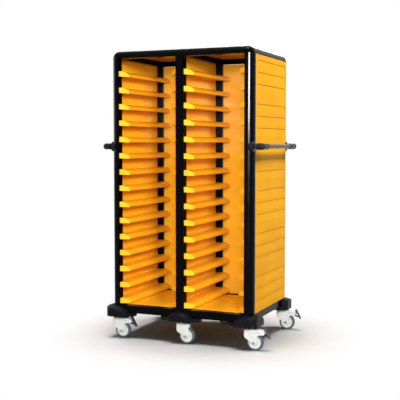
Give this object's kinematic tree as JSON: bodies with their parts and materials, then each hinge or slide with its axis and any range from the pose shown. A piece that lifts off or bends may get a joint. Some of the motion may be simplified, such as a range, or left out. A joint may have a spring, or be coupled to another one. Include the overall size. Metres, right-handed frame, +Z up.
{
  "type": "enclosed meal tray cart",
  "caption": "Tall open-fronted trolley with two columns of moulded tray ledges, louvred side panels, side push handles, wrap-round bumpers and swivelling casters.",
  "frame": {"origin": "on the floor under the middle of the overall box, which is 19 mm to the right of the frame's middle because every caster trails to the right at rest", "axes": "+Z up from the floor; -Y towards the open front; +X towards the cart's right side, as seen by somebody who faces the open front"},
  "size_m": [1.096, 0.746, 1.77],
  "materials": {
    "frame_paint": "glossy black enamel on steel tube",
    "panel_yellow": "smooth amber yellow moulded plastic",
    "liner_orange": "smooth amber orange plastic sheet",
    "ledge_yellow": "glossy amber yellow moulded plastic",
    "handle_grey": "dark grey coated steel tube",
    "moulded_black": "satin black moulded plastic",
    "bumper_black": "smooth dark rubbery bumper moulding",
    "caster_grey": "pale grey moulded nylon",
    "tread_slate": "slate grey soft tread",
    "pedal_dark": "dark grey moulded plastic",
    "bare_steel": "zinc plated steel"
  },
  "bodies": {
    "cart": {"post_front_left": "frame_paint", "post_front_right": "frame_paint", "post_rear_left": "frame_paint", "post_rear_right": "frame_paint", "post_front_centre": "frame_paint", "post_rear_centre": "frame_paint", "top_rail_front": "frame_paint", "top_rail_rear": "frame_paint", "bottom_rail_front": "frame_paint", "bottom_rail_rear": "frame_paint", "bottom_rail_centre": "frame_paint", "top_rail_centre": "frame_paint", "side_rails": "frame_paint", "side_panel_left": "panel_yellow", "wall_liner_left": "liner_orange", "back_panel_left": "liner_orange", "handle_bar_left": "handle_grey", "side_panel_right": "panel_yellow", "wall_liner_right": "liner_orange", "back_panel_right": "liner_orange", "handle_bar_right": "handle_grey", "partition_panel": "liner_orange", "floor_panel": "liner_orange", "roof_panel": "liner_orange", "tray_ledges_left_wall": "ledge_yellow", "tray_ledges_partition_left": "ledge_yellow", "tray_ledges_partition_right": "ledge_yellow", "tray_ledges_right_wall": "ledge_yellow", "handle_brackets": "moulded_black", "corner_bumpers": "bumper_black", "centre_bumpers": "bumper_black", "caster_stems": "bare_steel"},
    "fork_front_left": {"caster_fork_front_left": "caster_grey", "wheel_axle_front_left": "bare_steel"},
    "wheel_front_left": {"wheel_hub_front_left": "caster_grey", "wheel_tyre_front_left": "tread_slate"},
    "fork_front_right": {"caster_fork_front_right": "caster_grey", "wheel_axle_front_right": "bare_steel"},
    "wheel_front_right": {"wheel_hub_front_right": "caster_grey", "wheel_tyre_front_right": "tread_slate"},
    "fork_rear_left": {"caster_fork_rear_left": "caster_grey", "wheel_axle_rear_left": "bare_steel"},
    "wheel_rear_left": {"wheel_hub_rear_left": "caster_grey", "wheel_tyre_rear_left": "tread_slate"},
    "fork_rear_right": {"caster_fork_rear_right": "caster_grey", "wheel_axle_rear_right": "bare_steel"},
    "wheel_rear_right": {"wheel_hub_rear_right": "caster_grey", "wheel_tyre_rear_right": "tread_slate"},
    "fork_front_centre": {"caster_fork_front_centre": "caster_grey", "wheel_axle_front_centre": "bare_steel"},
    "wheel_front_centre": {"wheel_hub_front_centre": "caster_grey", "wheel_tyre_front_centre": "tread_slate"},
    "fork_rear_centre": {"caster_fork_rear_centre": "caster_grey", "wheel_axle_rear_centre": "bare_steel"},
    "wheel_rear_centre": {"wheel_hub_rear_centre": "caster_grey", "wheel_tyre_rear_centre": "tread_slate"},
    "pedal_front_left": {"brake_pedal_front_left": "pedal_dark"},
    "pedal_front_right": {"brake_pedal_front_right": "pedal_dark"},
    "pedal_rear_left": {"brake_pedal_rear_left": "pedal_dark"},
    "pedal_rear_right": {"brake_pedal_rear_right": "pedal_dark"}
  },
  "joints": [
    {"name": "swivel_front_left", "type": "hinge", "parent": "cart", "child": "fork_front_left", "pos_m": [-0.454, -0.313, 0.12], "axis": [0, 0, 1], "continuous": true},
    {"name": "spin_front_left", "type": "hinge", "parent": "fork_front_left", "child": "wheel_front_left", "pos_m": [-0.414, -0.313, 0.05], "axis": [0, 1, 0], "continuous": true},
    {"name": "swivel_front_right", "type": "hinge", "parent": "cart", "child": "fork_front_right", "pos_m": [0.416, -0.313, 0.12], "axis": [0, 0, 1], "continuous": true},
    {"name": "spin_front_right", "type": "hinge", "parent": "fork_front_right", "child": "wheel_front_right", "pos_m": [0.456, -0.313, 0.05], "axis": [0, 1, 0], "continuous": true},
    {"name": "swivel_rear_left", "type": "hinge", "parent": "cart", "child": "fork_rear_left", "pos_m": [-0.454, 0.313, 0.12], "axis": [0, 0, 1], "continuous": true},
    {"name": "spin_rear_left", "type": "hinge", "parent": "fork_rear_left", "child": "wheel_rear_left", "pos_m": [-0.414, 0.313, 0.05], "axis": [0, 1, 0], "continuous": true},
    {"name": "swivel_rear_right", "type": "hinge", "parent": "cart", "child": "fork_rear_right", "pos_m": [0.416, 0.313, 0.12], "axis": [0, 0, 1], "continuous": true},
    {"name": "spin_rear_right", "type": "hinge", "parent": "fork_rear_right", "child": "wheel_rear_right", "pos_m": [0.456, 0.313, 0.05], "axis": [0, 1, 0], "continuous": true},
    {"name": "swivel_front_centre", "type": "hinge", "parent": "cart", "child": "fork_front_centre", "pos_m": [-0.019, -0.313, 0.12], "axis": [0, 0, 1], "continuous": true},
    {"name": "spin_front_centre", "type": "hinge", "parent": "fork_front_centre", "child": "wheel_front_centre", "pos_m": [0.021, -0.313, 0.05], "axis": [0, 1, 0], "continuous": true},
    {"name": "swivel_rear_centre", "type": "hinge", "parent": "cart", "child": "fork_rear_centre", "pos_m": [-0.019, 0.313, 0.12], "axis": [0, 0, 1], "continuous": true},
    {"name": "spin_rear_centre", "type": "hinge", "parent": "fork_rear_centre", "child": "wheel_rear_centre", "pos_m": [0.021, 0.313, 0.05], "axis": [0, 1, 0], "continuous": true},
    {"name": "brake_front_left", "type": "hinge", "parent": "fork_front_left", "child": "pedal_front_left", "pos_m": [-0.392, -0.313, 0.1095], "axis": [0, 1, 0], "range_deg": [0, 8]},
    {"name": "brake_front_right", "type": "hinge", "parent": "fork_front_right", "child": "pedal_front_right", "pos_m": [0.478, -0.313, 0.1095], "axis": [0, 1, 0], "range_deg": [0, 8]},
    {"name": "brake_rear_left", "type": "hinge", "parent": "fork_rear_left", "child": "pedal_rear_left", "pos_m": [-0.392, 0.313, 0.1095], "axis": [0, 1, 0], "range_deg": [0, 8]},
    {"name": "brake_rear_right", "type": "hinge", "parent": "fork_rear_right", "child": "pedal_rear_right", "pos_m": [0.478, 0.313, 0.1095], "axis": [0, 1, 0], "range_deg": [0, 8]}
  ]
}
